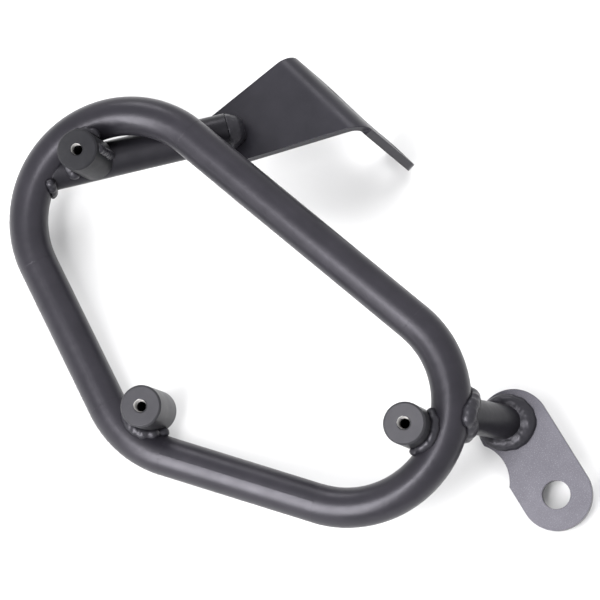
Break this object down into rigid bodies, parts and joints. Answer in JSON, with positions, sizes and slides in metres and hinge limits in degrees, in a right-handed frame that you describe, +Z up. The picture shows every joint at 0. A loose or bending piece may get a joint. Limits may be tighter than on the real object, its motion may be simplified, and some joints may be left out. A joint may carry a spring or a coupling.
{
  "type": "pannier frame",
  "caption": "Bent-tube carrier loop for a motorbike side case, with threaded bosses, a folded top bracket on a tube arm and a bolted tab on a stub.",
  "frame": {"origin": "centre of the tab's bolt hole, on the tab's outboard face", "axes": "+Z up as fitted to the motorbike, -Y outboard, along the threaded bosses, +X along the loop's top tube towards the tab"},
  "size_m": [0.2992, 0.1032, 0.1894],
  "materials": {
    "tube": "satin black powder coat over bent steel tube",
    "plate": "satin black powder coat over cut steel sheet, fine grain",
    "boss": "thin satin black coat over turned steel, faint rings on the faces",
    "weld": "satin black powder coat over rippled weld beads"
  },
  "bodies": {
    "root": {"loop_tube": "tube", "boss_left": "boss", "boss_right": "boss", "boss_low": "boss", "arm_tube": "tube", "bracket": "plate", "stub_tube": "tube", "tab": "plate", "weld_boss_left": "weld", "weld_boss_right": "weld", "weld_boss_low": "weld", "weld_arm_loop": "weld", "weld_arm_boss": "weld", "weld_arm_bracket": "weld", "weld_stub_loop": "weld", "weld_stub_tab": "weld"}
  },
  "joints": []
}
